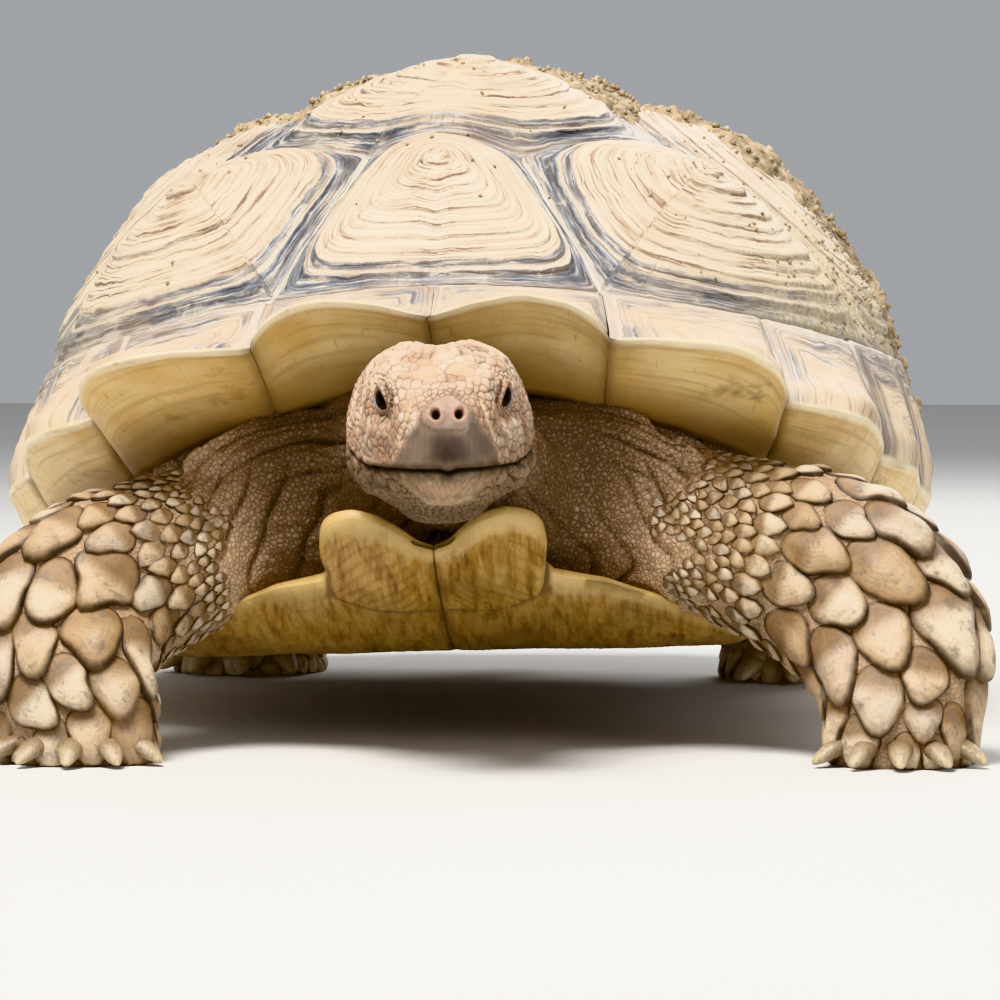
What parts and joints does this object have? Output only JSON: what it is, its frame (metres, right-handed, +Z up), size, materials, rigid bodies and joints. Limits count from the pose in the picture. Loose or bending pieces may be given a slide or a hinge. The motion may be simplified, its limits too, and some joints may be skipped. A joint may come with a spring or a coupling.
{
  "type": "sulcata tortoise",
  "caption": "Life-size sulcata tortoise in mid-stride: domed, ridged shell plates over thick scaly legs, head held out low.",
  "frame": {"origin": "on the floor, under the middle of the whole animal's box", "axes": "+Z up; the animal faces -Y and its own left side is +X"},
  "size_m": [0.5292, 0.7628, 0.3599],
  "materials": {
    "scute": "dry horn, growth-ringed",
    "rim": "worn horn",
    "plastron": "polished, scuffed horn",
    "skin": "dry, wrinkled, scaly",
    "head": "dry, small flat scales",
    "eye": "wet gloss"
  },
  "bodies": {
    "root": {"vertebral_1": "scute", "vertebral_2": "scute", "vertebral_3": "scute", "vertebral_4": "scute", "vertebral_5": "scute", "costal_1_left": "scute", "costal_1_right": "scute", "costal_2_left": "scute", "costal_2_right": "scute", "costal_3_left": "scute", "costal_3_right": "scute", "costal_4_left": "scute", "costal_4_right": "scute", "marginal_1_left": "rim", "marginal_1_right": "rim", "marginal_2_left": "rim", "marginal_2_right": "rim", "marginal_3_left": "rim", "marginal_3_right": "rim", "marginal_4_left": "rim", "marginal_4_right": "rim", "marginal_5_left": "rim", "marginal_5_right": "rim", "marginal_6_left": "rim", "marginal_6_right": "rim", "marginal_7_left": "rim", "marginal_7_right": "rim", "marginal_8_left": "rim", "marginal_8_right": "rim", "marginal_9_left": "rim", "marginal_9_right": "rim", "marginal_10_left": "rim", "marginal_10_right": "rim", "marginal_11_left": "rim", "marginal_11_right": "rim", "supracaudal": "rim", "gular_left": "plastron", "gular_right": "plastron", "humeral_left": "plastron", "humeral_right": "plastron", "pectoral_left": "plastron", "pectoral_right": "plastron", "abdominal_left": "plastron", "abdominal_right": "plastron", "femoral_left": "plastron", "femoral_right": "plastron", "anal_left": "plastron", "anal_right": "plastron", "trunk": "skin", "neck": "skin", "tail": "skin", "foreleg_left": "skin", "foreleg_right": "skin", "hindleg_left": "skin", "hindleg_right": "skin", "head": "head", "lower_jaw": "head", "eye_left": "eye", "eye_right": "eye"}
  },
  "joints": []
}
